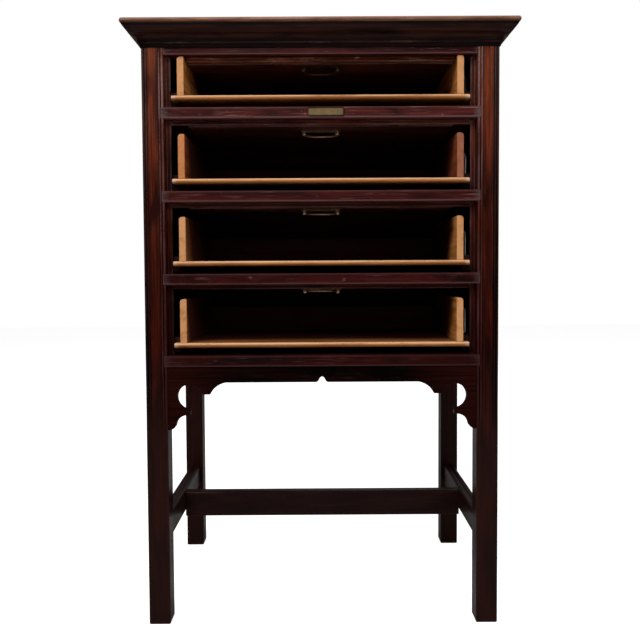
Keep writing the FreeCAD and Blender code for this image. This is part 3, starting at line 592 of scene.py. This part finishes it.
def postPart(low, high, front):
    # Ring of points round the post; on a front post the face sinks into four half-round beads
    look, bead, r, foot = postLook, postLook["bead"], postLook["arris"], postLook["foot"]
    width, depth = high[0] - low[0], high[1] - low[1]
    arc = np.linspace(0, math.pi, look["beadSteps"] + 1)
    beadU = join([k * bead + bead / 2 * (1 - np.cos(arc)) for k in range(2)])
    beadD = np.tile(1 - np.sin(arc), 2) * look["beadDepth"]
    flatFrom = 2 * bead + look["flatGap"]
    flatU = np.linspace(flatFrom, width - flatFrom, look["flatSteps"])
    faceU = join([beadU, flatU, width - beadU[::-1]])
    faceBead = join([beadD, np.zeros(look["flatSteps"]), beadD[::-1]])
    edge = np.minimum(faceU, width - faceU)
    z = join([
        foot * np.array(look["footRings"]), [look["footTop"]],
        np.linspace(look["legStart"], look["stop"], look["legRings"])[:-1],
        look["stop"] + look["runout"] * np.linspace(0, 1, look["runoutRings"]),
        np.linspace(look["upperStart"], high[2] - look["upperGap"], look["upperRings"]),
        [high[2] - look["headGap"], high[2]]])
    share = np.clip((z - look["stop"]) / look["runout"], 0, 1)
    share = share * share * (3 - 2 * share) if front else share * 0
    faceV = np.maximum(faceBead * share[:, None], quarterRound(edge, r))
    sideV = np.linspace(look["sideStart"], 1, look["sideSteps"]) * (depth - r)
    turn = np.linspace(0, math.pi / 2, look["turnSteps"] + 1)[1:]
    rightU = join([np.full(look["sideSteps"], width), width - r + r * np.cos(turn)])
    rightV = join([sideV, depth - r + r * np.sin(turn)])
    backU = np.linspace(width - look["backStart"] * r, look["backStart"] * r, look["backSteps"])
    leftU = join([r - r * np.sin(turn - turn[0]), np.zeros(look["sideSteps"])])
    leftV = join([depth - r + r * np.cos(turn - turn[0]), sideV[::-1]])
    u = join([faceU, rightU, backU, leftU])
    restV = join([rightV, np.full(look["backSteps"], depth), leftV])
    v = join([faceV, np.tile(restV, (len(z), 1))], axis=1)
    # Round the foot: each ring is drawn in toward the middle of the post
    pull = 1 - quarterRound(z, foot)[:, None] * look["footShare"] / (width / 2)
    place = grid(low[0] + width / 2 + (u - width / 2) * pull,
                 low[1] + depth / 2 + (v - depth / 2) * pull, z[:, None])
    count = len(faceU)
    # Bead crests: rubbed, and painted lighter as the highlight they catch
    crest = (faceBead < look["crest"]) & (edge < 2 * bead)
    wear = np.zeros(place.shape[:2])
    wear[:, :count] = np.maximum(edge < look["rubbed"], look["crestWearAndSheen"] * share[:, None] * crest)
    reach = look["cornerReach"] * r
    backCorner = (np.minimum(v, depth - v) < reach) & (np.minimum(u, width - u) < reach)
    wear = np.maximum(wear, backCorner * look["backWear"])
    wear[z < foot * look["footWorn"]] = 1.0
    # Painted shade: the quirks between the beads are darkened as shade and dirt, and the outer beads as
    # shade alone
    slope, start = look["quirkShadeAndDirt"]
    quirk = np.clip(faceBead / look["beadDepth"] * slope + start, 0, 1)
    outside = faceU > width - 2 * bead if low[0] > 0 else faceU < 2 * bead
    grime = np.zeros(place.shape[:2])
    grime[:, :count] = share[:, None] * np.maximum(quirk, look["outerBeadShade"] * outside)
    return ringPart(place, wear, grid(z[:, None], u, v), grime)


for node in ("front_post_right", "rear_post_right", "front_post_left", "rear_post_left"):
    makePiece(node, [postPart(*pieceBox(node), node.startswith("front"))])

railLook = {"lap": 7 * mm, "arris": 1.7 * mm, "sharp": 0.3 * mm, "upperWear": 0.5}


def railParts(node):
    # Body of the rail between the posts, and its front edge that laps over them
    (x0, y0, z0), (x1, y1, z1) = pieceBox(node)
    arris, sharp, lapY = railLook["arris"], railLook["sharp"], y0 + railLook["lap"]
    front = board((x0, y0, z0), (x1, lapY, z1), "x", radii=[arris, sharp, sharp, arris], endArris=sharp)
    # The lower arris is the more rubbed of the two
    upper = front["points"][:, 2] >= (z0 + z1) / 2
    front["wear"] = front["wear"] * np.where(upper, railLook["upperWear"], 1.0)
    return [front, board((-innerX, lapY, z0), (innerX, y1, z1), "x", arris=sharp)]


rails = ["divider_rail_1", "divider_rail_2", "divider_rail_3", "bottom_rail"]
for node in rails:
    makePiece(node, railParts(node), "mahoganyMarked")
simplePiece("frieze_rail", "x", "friezeWood")
simplePiece("side_panel_right", "z", "panelWood")
simplePiece("side_panel_left", "z", "panelWood")
simplePiece("back_panel", "z", "innerWood", slot="inner_wood")

sideRailLook = {"bottom": 50 * mm, "top": 62.5 * mm, "thickness": 17 * mm}


def sideRails():
    # Top and bottom rail of each side frame, as tall as the parts that carry them
    low, high = pieceBox("side_rails")
    parts = []
    for z0, z1 in ((low[2], low[2] + sideRailLook["bottom"]), (high[2] - sideRailLook["top"], high[2])):
        rail = board((high[0] - sideRailLook["thickness"], low[1], z0), (high[0], high[1], z1), "y")
        parts.extend([rail, mirroredPart(rail)])
    return parts


makePiece("side_rails", sideRails())

# Cornice and top board

cornice = {
    "height": 30.5 * mm, "reach": 24.5 * mm, "fillet": 5 * mm, "bead": 3.2 * mm, "beadReach": 4 * mm,
    "footReach": 1.4 * mm, "lip": 0.8 * mm, "hollow": 3.4 * mm, "round": 0.9 * mm,
    "steps": 10, "beadSteps": 7, "rings": 26,
    "footWear": (0, 0.6, 0), "beadWear": 0.8,
    "footShade": (0, 0.9, 1), "beadShade": 0.1, "hollowShade": 6, "topDirt": (0.6, 0.9, 1, 1, 1),
}
# lower sets how dark the painted shade under the front edge is
topShape = {"radii": [3.8 * mm] * 4, "endArris": 3.6 * mm, "wear": 0.9, "lower": 0.65}


def corniceProfile():
    # (reach, rise) points from the foot to the top: fillet, bead, hollow below, round above
    c = cornice
    angle = np.linspace(-math.pi / 2, math.pi / 2, c["beadSteps"])
    bead = grid(c["beadReach"] + c["bead"] / 2 * (np.cos(angle) - 1),
                c["fillet"] + c["bead"] / 2 * (1 + np.sin(angle)))
    start = np.array([c["beadReach"], c["fillet"] + c["bead"]])
    run = np.array([c["reach"], c["height"] - c["lip"]]) - start
    t = np.linspace(0, 1, 2 * c["steps"] + 1)[:, None]
    # Off the straight line by sin(2 pi t), deeper in the hollow half than in the round half
    bow = np.sin(2 * math.pi * t) * np.where(t < 0.5, c["hollow"], c["round"])
    wave = start + run * t + np.array([-run[1], run[0]]) / np.linalg.norm(run) * bow
    foot = [[0, 0], [c["footReach"], 0], [c["footReach"], c["fillet"]]]
    points = join([foot, bead, wave, [[c["reach"], c["height"]], [0, c["height"]]]])
    # Wear and painted shade in the same order: foot, bead, then the wave and the top as one row of points
    rest = len(wave) + 2
    wear = join([c["footWear"], np.full(len(bead), c["beadWear"]), np.zeros(rest)])
    # Painted shade at the foot, in the hollow just above the bead, and as painted shadow under the top
    # board's overhang
    grime = join([c["footShade"], np.full(len(bead), c["beadShade"]), np.linspace(1, 0, c["hollowShade"]),
                  np.zeros(rest - c["hollowShade"] - len(c["topDirt"])), c["topDirt"]])
    return points, wear, grime


def cornicePart(kind):
    points, mask, shadeAndDirtShare = corniceProfile()
    reach, rise = points[:, 0], points[:, 1]
    base = pieceBox("cornice_front")[0][2]
    t = np.linspace(0, 1, cornice["rings"])[:, None]
    if kind == "front":
        x = along = (2 * t - 1) * (outerX + reach)
        y = frontY - reach
    else:
        # Walked from the back, so that its faces turn outward
        x, t = outerX + reach, t[::-1]
        y = along = (frontY - reach) + t * (backY - (frontY - reach))
    return ringPart(grid(x, y, base + rise), mask, grid(along, reach, rise), shadeAndDirtShare)


makePiece("cornice_front", [cornicePart("front")], "mahoganyPlain")
makePiece("cornice_right", [cornicePart("side")], "mahoganyPlain")
makePiece("cornice_left", [mirroredPart(cornicePart("side"))], "mahoganyPlain")
simplePiece("top_board", "x", "mahoganyEdge", **topShape)

# Strips that line the openings

openingTops = [pieceBox(node)[0][2] for node in ["frieze_rail"] + rails[:-1]]
openingBottoms = [pieceBox(node)[1][2] for node in rails]
stripLook = {"width": 8 * mm, "drop": 7 * mm, "topHalf": 212.5 * mm, "arris": 1 * mm,
             "handX": -0.030, "handReach": 0.065, "handWear": 1.4, "elsewhere": 0.5}


def stripParts():
    low, high = pieceBox("opening_strips")
    side, arris = innerX - stripLook["width"], stripLook["arris"]
    parts, crosses = [], []
    for top, bottom in zip(openingTops, openingBottoms):
        half, under = side if crosses else stripLook["topHalf"], top - stripLook["drop"]
        crosses.append(board((-half, low[1], under), (half, high[1], top), "x", arris=arris))
        upright = board((side, low[1], bottom), (innerX, high[1], top), "z", arris=arris)
        parts.extend([upright, mirroredPart(upright)])
    # The first cross strip is rubbed where hands reach for the handle
    away = np.abs(crosses[0]["points"][:, 0] - stripLook["handX"]) / stripLook["handReach"]
    rubbed = np.clip(stripLook["handWear"] - away, 0, 1)
    crosses[0]["wear"] = np.maximum(crosses[0]["wear"] * stripLook["elsewhere"], rubbed)
    return parts + crosses[1:], crosses[:1]


plainStrips, wornStrips = stripParts()
makePiece("opening_strips", plainStrips)
makePiece("opening_strips", wornStrips, "wornStrip", name="topStrip")
print("stage: carcase")

# Trays: the right and left side of each has a look of its own

# lower sets how dark the painted shade under the lip's front edge is
floorShape = {"radii": [3.8 * mm, 0.9 * mm, 0.9 * mm, 3.8 * mm], "endArris": 0.8 * mm, "lower": 0.75}
sideShape = {"radii": [0.8 * mm, 1.4 * mm, 5 * mm, 0.8 * mm], "endArris": 0.8 * mm}
sideLooks = {1: ("topTraySide", "topTraySide"), 2: ("redTraySide", "warmTraySide"),
             3: ("lowTraySide", "traySide"), 4: ("lowTraySide", "lowTraySide")}
for number in numbers:
    body = "tray_%d" % number
    inTray = {"body": body, "slot": "tray_wood"}
    rightLook, leftLook = sideLooks[number]
    simplePiece(body + "_floor", "x", "topTrayFloor" if number == 1 else "trayFloor", **inTray, **floorShape)
    simplePiece(body + "_side_right", "y", rightLook, **inTray, **sideShape)
    side = board(*pieceBox(body + "_side_right"), "y", **sideShape)
    makePiece(body + "_side_left", [mirroredPart(side)], leftLook, **inTray)
    simplePiece(body + "_back", "x", "trayBack", **inTray, arris=0.9 * mm)

# Flaps and handles

for number in numbers:
    body = "flap_%d" % number
    simplePiece(body + "_board", "x", "flapWood", body, arris=1.2 * mm)


def circle(sides):
    return np.linspace(0, 2 * math.pi, sides, endpoint=False)


def tube(path, radius, sides=14):
    # Rings square to the path; every ring is a circle in the plane of the path's normal and +Z
    run = unit(np.gradient(path, axis=0))
    up = np.array([0.0, 0.0, 1.0])
    side, angle = np.cross(run, up), circle(sides)
    place = path[:, None] + radius * (np.cos(angle)[:, None] * side[:, None] + np.sin(angle)[:, None] * up)
    return ringPart(place, 0.5 - 0.5 * np.sin(angle), place)


def turned(profile, centre, sides=28, wear=0.6):
    # Profile (radius, height) spun about a vertical line through the centre
    angle = circle(sides)
    place = grid(centre[0] + profile[:, :1] * np.cos(angle), centre[1] + profile[:, :1] * np.sin(angle),
                 centre[2] + profile[:, 1:])
    return ringPart(place, wear, place)


handleLook = {
    "half": 27.5 * mm, "drop": 29 * mm, "square": 0.8, "bar": 1.9 * mm, "standoff": 5.4 * mm,
    "inset": 2 * mm, "plateHalf": 33 * mm, "lobe": 5.4 * mm, "waist": 3.7 * mm, "plate": 1.2 * mm,
    "plateArris": 0.4 * mm, "plateWear": 0.5, "bailSteps": 40, "plateSteps": 60,
    # (radius, height) of a knob in millimetres, from its end to the plate
    "knob": [(0.3, -8.9), (1.8, -8.7), (3.0, -7.8), (3.6, -6.0), (3.5, -4.9), (2.6, -3.7),
             (2.2, -3.1), (2.3, -2.5), (3.4, -2.0), (4.2, -1.3), (4.2, -1.1)],
}


def handleParts(node):
    # Bail: x = half * cos(t) and y = drop * sin(t), both raised to a power that squares its corners a little
    size, high = handleLook, pieceBox(node)[1]
    face, half, square = high[2], size["half"], size["square"]
    knobY = high[1] - size["inset"] - size["drop"]
    t = np.linspace(0, math.pi, size["bailSteps"] + 1)
    bailX = -np.sign(np.cos(t)) * np.abs(np.cos(t)) ** square * half
    bailY = knobY + np.sin(t) ** square * size["drop"]
    parts = [tube(grid(bailX, bailY, face - size["standoff"]), size["bar"])]
    for x in (-half, half):
        parts.append(turned(np.array(size["knob"]) * mm, (x, knobY, face)))
    # Plate half-width: round ends about the posts, a wavy edge between them
    x = np.linspace(-1, 1, size["plateSteps"] + 1) * size["plateHalf"]
    beyond = np.clip((np.abs(x) - half) / (size["plateHalf"] - half), 0, 1)
    wave = 0.5 + 0.5 * np.cos(2 * math.pi * x / half)
    width = size["waist"] + (size["lobe"] - size["waist"]) * wave
    width = np.where(beyond > 0, size["lobe"] * np.sqrt(np.clip(1 - beyond ** 2, 0.01, 1)), width)
    outline = join([grid(x, -width), grid(x, width)[::-1]])
    parts.append(carried(outline, outwardFrom(outline), size["plateWear"], (0, knobY, face - size["plate"]),
                         size["plate"], "z", size["plateArris"]))
    return parts


for number in numbers:
    # The first handle lies in deep shade, painted in as darker, duller brass
    body, look = "flap_%d" % number, "shadedBrass" if number == 1 else "agedBrass"
    makePiece(body + "_handle", handleParts(body + "_handle"), look, body, "aged_brass")
print("stage: trays and flaps")

# Stand: apron and stretchers

apronLook = {
    "edge": 25.4 * mm, "reach": 92.4 * mm, "drop": 75.8 * mm, "arris": 0.9 * mm, "wear": 0.35,
    # Shares of the bracket's reach from the post, and of its drop below the apron's edge
    "shoulder": (0.792, 0.137), "heel": (0.727, 0.251), "eye": (0.383, 0.304), "eyeRadius": 0.220,
    "cusp": 0.690, "cheek": (0.195, 0.758), "knee": (0.135, 0.905), "toe": (0.093, 0.972),
    "notchHalf": 9.5 * mm, "notchRise": 9 * mm,
}


def arc(start, middle, end, steps):
    # Circle through three points, walked from start to end through the middle one
    a, b, c = (complex(*p) for p in (start, middle, end))
    w = (c - a) / (b - a)
    centre = (b - a) * (w - abs(w) ** 2) / (2j * w.imag) + a
    total = np.angle((c - centre) / (a - centre))
    partial = np.angle((b - centre) / (a - centre))
    if total * partial < 0 or abs(partial) > abs(total):
        total -= math.copysign(2 * math.pi, total)
    angle = np.angle(a - centre) + total * np.linspace(0, 1, steps + 1)
    points = centre + abs(a - centre) * np.exp(1j * angle)
    return grid(points.real, points.imag)


def apronPart():
    # Outline of the left half as straight runs and arcs, mirrored, carried through the thickness
    low, high = pieceBox("front_apron")
    look, half, top = apronLook, high[0], high[2]
    edgeZ = top - look["edge"]

    def at(share):
        return np.array([-half + share[0] * look["reach"], edgeZ - share[1] * look["drop"]])

    eye, heel, knee = at(look["eye"]), at(look["heel"]), at(look["knee"])
    radius = look["eyeRadius"] * look["reach"]
    eyeStart = np.array([eye[0] + math.sqrt(radius ** 2 - (heel[1] - eye[1]) ** 2), heel[1]])
    cusp = np.array([eye[0], edgeZ - look["cusp"] * look["drop"]])
    rise = look["notchRise"]
    tip, foot = np.array([0.0, edgeZ + rise]), np.array([-look["notchHalf"], edgeZ])
    turnPoint, bow = (tip + foot) / 2, rise / 8
    left = join([
        arc(tip, (tip + turnPoint) / 2 + (0, bow), turnPoint, 5),
        arc(turnPoint, (turnPoint + foot) / 2 - (0, bow), foot, 5),
        arc(at((1, 0)), at(look["shoulder"]), heel, 10),
        arc(eyeStart, eye + radius * np.array([-1, 1]) / math.sqrt(2), eye - (0, radius), 28),
        cusp[None, :],
        arc(cusp, at(look["cheek"]), knee, 12)[1:],
        arc(knee, at(look["toe"]), at((0, 1)), 6)[1:],
    ])
    # Points nearer than a fiftieth of a millimetre are one point
    left = left[join([[True], np.linalg.norm(np.diff(left, axis=0), axis=1) > 0.02 * mm])]
    right = left[1:] * (-1, 1)
    outline = join([[[-half, top]], left[::-1], right, [[half, top]]])
    # Between the directions of its two edges; the divisor stays off zero where they meet in a point
    normal = squareTo(np.roll(outline, -1, axis=0) - outline)
    direction = normal + np.roll(normal, 1, axis=0)
    direction = direction / np.maximum(np.linalg.norm(direction, axis=1)[:, None], 0.5)
    part = carried(
        outline, direction, look["wear"], (0, high[1], 0), high[1] - low[1], "forward", look["arris"])
    return dict(part, grain=part["grain"][:, [1, 2, 0]])


# The apron is painted nearly black as shade
makePiece("front_apron", [apronPart()], "mahoganyPaintedShade")

stretcherLook = {"reed": 3 * mm, "corner": 0.8 * mm, "end": 0.2 * mm, "crownWear": 0.4,
                 "reedSteps": 14}
crossShape = {"radii": [0.8 * mm, 0.8 * mm, 4 * mm, 4 * mm], "endArris": 0.3 * mm}


def sideStretcher():
    # Section with two reeds on top, carried from leg to leg
    low, high = pieceBox("side_stretcher_right")
    front, rear = postHigh[1], rearLow[1]
    width, height = high[0] - low[0], high[2] - low[2]
    reed, r = stretcherLook["reed"], stretcherLook["corner"]
    # Each reed is a half circle; the divisor just over 1 keeps the last point at its foot
    u = np.linspace(0, 1, stretcherLook["reedSteps"] + 1)
    rise = reed * np.sqrt(np.clip(1 - (2 * ((2 * u) % 1.0001) - 1) ** 2, 0, 1))
    crown = grid(width * (1 - u), height - reed + rise)
    outline = join([[[r, 0], [width - r, 0], [width, r], [width, height - 2 * reed]],
                    crown, [[0, height - 2 * reed], [0, r]]])
    mask = join([[1, 1, 1, 0], np.full(len(crown), stretcherLook["crownWear"]), [0, 1]])
    part = carried(outline, outwardFrom(outline), mask, (low[0], front, low[2]), rear - front, "backward",
                   stretcherLook["end"])
    return dict(part, faces=[face[::-1] for face in part["faces"]])


makePiece("side_stretcher_right", [sideStretcher()])
makePiece("side_stretcher_left", [mirroredPart(sideStretcher())])
low, high = pieceBox("cross_stretcher")
high[0] = pieceBox("side_stretcher_right")[0][0]
low[0] = -high[0]
makePiece("cross_stretcher", [board(low, high, "x", **crossShape)], "mahoganyPlain")

# Plate on the first rail, and the metal strips beside the trays

plateLook = {"corner": 1.5 * mm, "guard": 0.5 * mm, "steps": 5, "arris": 0.35 * mm, "wear": 0.7}
stayLook = {"height": 42 * mm, "thick": 1.1 * mm, "foot": 12.9 * mm, "curl": 3.6 * mm, "curlPower": 24,
            "steps": 40, "wear": 0.5}


def platePart():
    low, high = pieceBox("maker_plate")
    outline, direction, _ = roundedRectangle(
        high[0] - low[0], high[2] - low[2], [plateLook["corner"]] * 4,
        plateLook["guard"], plateLook["steps"])
    return carried(outline, direction, plateLook["wear"], (low[0], high[1], low[2]), high[1] - low[1],
                   "forward", plateLook["arris"])


def stayParts():
    # Springy strip on a short foot: straight up, then curled back toward the tray by curl * t^curlPower
    low, high = pieceBox("stay_strips")
    thick, parts = stayLook["thick"], []
    for bottom in openingBottoms:
        base = bottom + (low[2] - openingBottoms[-1])
        t = np.linspace(0, 1, stayLook["steps"] + 1)
        x = low[0] + stayLook["foot"] - stayLook["curl"] * t ** stayLook["curlPower"]
        z = base + thick + t * (stayLook["height"] - thick)
        outer = grid(x + thick / 2, z)
        outline = join([
            [[low[0], base], [x[0], base]], outer, outer[::-1] - (thick, 0), [[low[0], base + thick]]])
        place = np.stack([grid(outline[:, 0], y, outline[:, 1]) for y in (high[1], low[1])])
        parts.append(ringPart(place, stayLook["wear"], place))
    return parts


makePiece("stay_strips", stayParts(), "stayMetal", slot="stay_metal", name="stays")
makePiece("maker_plate", [platePart()], "plateBrass", slot="plate_brass", name="blankPlate")
print("stage: stand and plate")

# Nodes that stay as they are get their finish
kept = {
    "innerWood": ["bottom_board", "tray_runners_right", "tray_runners_left"],
    # the boards over the trays get the lighter, painted-light copy
    "innerWoodPaintedLight": ["inner_top_board", "dust_board_1", "dust_board_2", "dust_board_3"],
    "hingeBrassPaintedShade": ["hinge_fixed_leaves"] + ["flap_%d_hinge_leaves" % number for number in numbers],
}
for name, nodes in kept.items():
    for node in nodes:
        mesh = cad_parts[node].data
        mesh.materials.clear()
        mesh.materials.append(materials[name])

# Stage, light and camera

stage = {"floorHalf": 6.0, "floorColour": (0.7, 0.7, 0.7), "floorGlow": 0.86,
         "worldDiffuse": 0.14, "worldGlossy": 0.12}


def makeFloor():
    # Grey to the lamps, and brought up to white for the camera alone
    mesh = bpy.data.meshes.new("floor")
    corners = np.array([(-1, -1, 0), (1, -1, 0), (1, 1, 0), (-1, 1, 0)]) * stage["floorHalf"]
    mesh.from_pydata(corners.tolist(), [], [(0, 1, 2, 3)])
    floor = newObject("floor", mesh)
    material, net, shader = newMaterial("paleFloor", {
        "Base Color": stage["floorColour"], "Roughness": 0.9, "Specular IOR Level": 0.0})
    light = net.add("LightPath").outputs
    glow = net.add("Emission", {
        "Color": (1, 1, 1), "Strength": net.times(light["Is Camera Ray"], stage["floorGlow"])})
    both = net.add("AddShader", {0: shader.outputs[0], 1: glow.outputs[0]})
    net.fill(net.tree.nodes["Material Output"], {"Surface": both.outputs[0]})
    mesh.materials.append(material)


def makeWorld():
    world = bpy.data.worlds.new("studio")
    world.use_nodes = True
    net = Net(world.node_tree)
    light = net.add("LightPath").outputs
    level = net.ramp(light["Is Glossy Ray"], 0, 1, stage["worldDiffuse"], stage["worldGlossy"])
    level = net.maths("MAXIMUM", level, light["Is Camera Ray"])
    net.fill(net.tree.nodes["Background"], {"Color": (1, 1, 1), "Strength": level})
    bpy.context.scene.world = world


# Place, aim, size and power of each lamp
lamps = {
    "keyLamp": ((-1.3, -1.7, 2.5), (0, -0.17, 0.9), 1.0, 48),
    "fillLamp": ((2.6, -1.7, 1.6), (0, -0.17, 0.7), 1.0, 28),
    "frontLamp": ((-0.2, -3.0, 2.2), (0, -0.17, 0.7), 0.6, 20),
    "backLamp": ((0.5, 2.2, 2.2), (0, 0, 0.6), 1.6, 16),
}


def makeLamps():
    for name, (place, aim, size, power) in lamps.items():
        data = bpy.data.lights.new(name, "AREA")
        data.shape = "SQUARE"
        data.size = size
        data.energy = power
        lamp = newObject(name, data)
        lamp.location = place
        lamp.rotation_euler = (Vector(aim) - Vector(place)).to_track_quat("-Z", "Y").to_euler()


camera = {"place": (-0.0046, -1.3243, 0.5708), "pitchDown": 0.04234, "turn": -0.00168, "roll": -0.00544,
          "focalPixels": 728.5, "imagePixels": 640, "principalRow": 300, "sensor": 36.0}


def makeCamera():
    data = bpy.data.cameras.new("camera")
    data.sensor_fit = "HORIZONTAL"
    data.sensor_width = camera["sensor"]
    data.lens = camera["focalPixels"] / camera["imagePixels"] * camera["sensor"]
    data.shift_y = (camera["principalRow"] - camera["imagePixels"] / 2) / camera["imagePixels"]
    obj = newObject("camera", data)
    turn = Matrix.Rotation(camera["turn"], 4, "Z")
    tilt = Matrix.Rotation(math.pi / 2 - camera["pitchDown"], 4, "X")
    roll = Matrix.Rotation(camera["roll"], 4, "Z")
    obj.matrix_world = Matrix.Translation(camera["place"]) @ turn @ tilt @ roll
    bpy.context.scene.camera = obj


makeFloor()
makeWorld()
makeLamps()
makeCamera()
bpy.context.scene.view_settings.view_transform = "Standard"
print("stage: light and camera")

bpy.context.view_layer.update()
